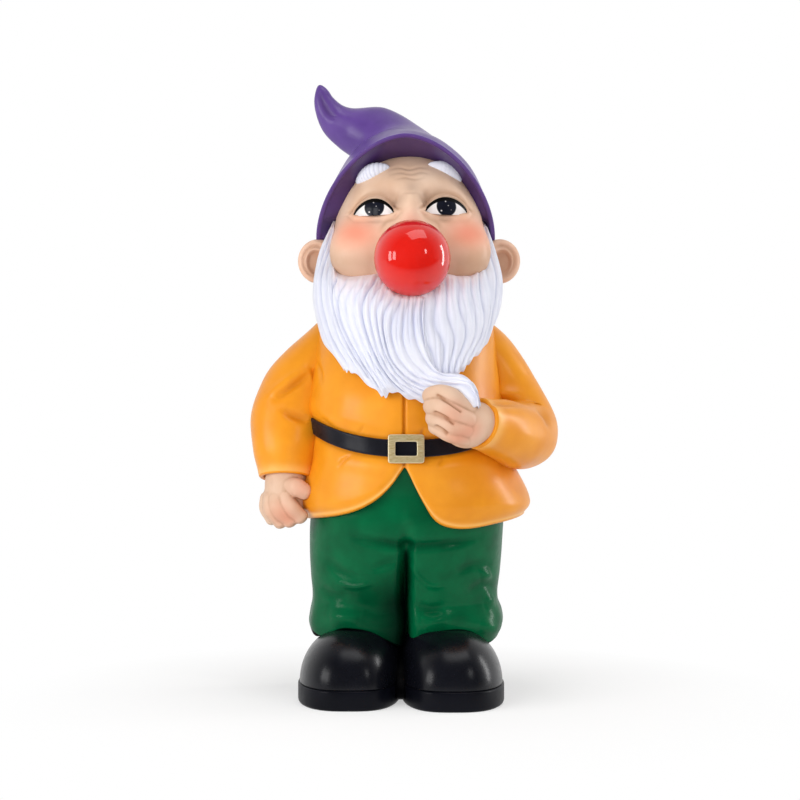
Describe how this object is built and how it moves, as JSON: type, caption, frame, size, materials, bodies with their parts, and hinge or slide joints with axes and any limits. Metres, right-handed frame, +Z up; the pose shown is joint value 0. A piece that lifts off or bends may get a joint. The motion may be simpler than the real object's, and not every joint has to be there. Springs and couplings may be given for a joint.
{
  "type": "garden gnome figure",
  "caption": "Free-standing painted resin garden gnome with a pointed cap, a long beard held in one fist, a belted jacket and round boots.",
  "frame": {"origin": "middle of the footprint's bounding box, on the ground under the soles", "axes": "+Z up, the gnome faces -Y, +X towards the gnome's left hand"},
  "size_m": [0.1498, 0.1234, 0.3025],
  "materials": {
    "sole": "black paint on cast resin, satin varnish",
    "boot": "blue-black paint on cast resin, gloss varnish",
    "trousers": "deep green paint on cast resin, gloss varnish",
    "jacket": "yellow-orange paint with a darker wash in the folds, gloss varnish",
    "belt": "black paint, gloss varnish",
    "buckle": "gold paint on cast resin",
    "skin": "flesh paint with a sprayed pink blush, satin varnish",
    "eye": "white paint with a black iris, gloss varnish",
    "hair": "white paint with a pale violet shade in the grooves, satin varnish",
    "ball": "red paint, high gloss",
    "hat": "purple paint on cast resin, gloss varnish"
  },
  "bodies": {
    "root": {"right_sole": "sole", "left_sole": "sole", "right_boot": "boot", "left_boot": "boot", "trousers": "trousers", "jacket": "jacket", "belt": "belt", "buckle": "buckle", "right_sleeve": "jacket", "left_sleeve": "jacket", "right_hand": "skin", "left_hand": "skin", "head": "skin", "right_eye": "eye", "left_eye": "eye", "right_eyebrow": "hair", "left_eyebrow": "hair", "nose_ball": "ball", "beard": "hair", "hair": "hair", "hat": "hat"}
  },
  "joints": []
}
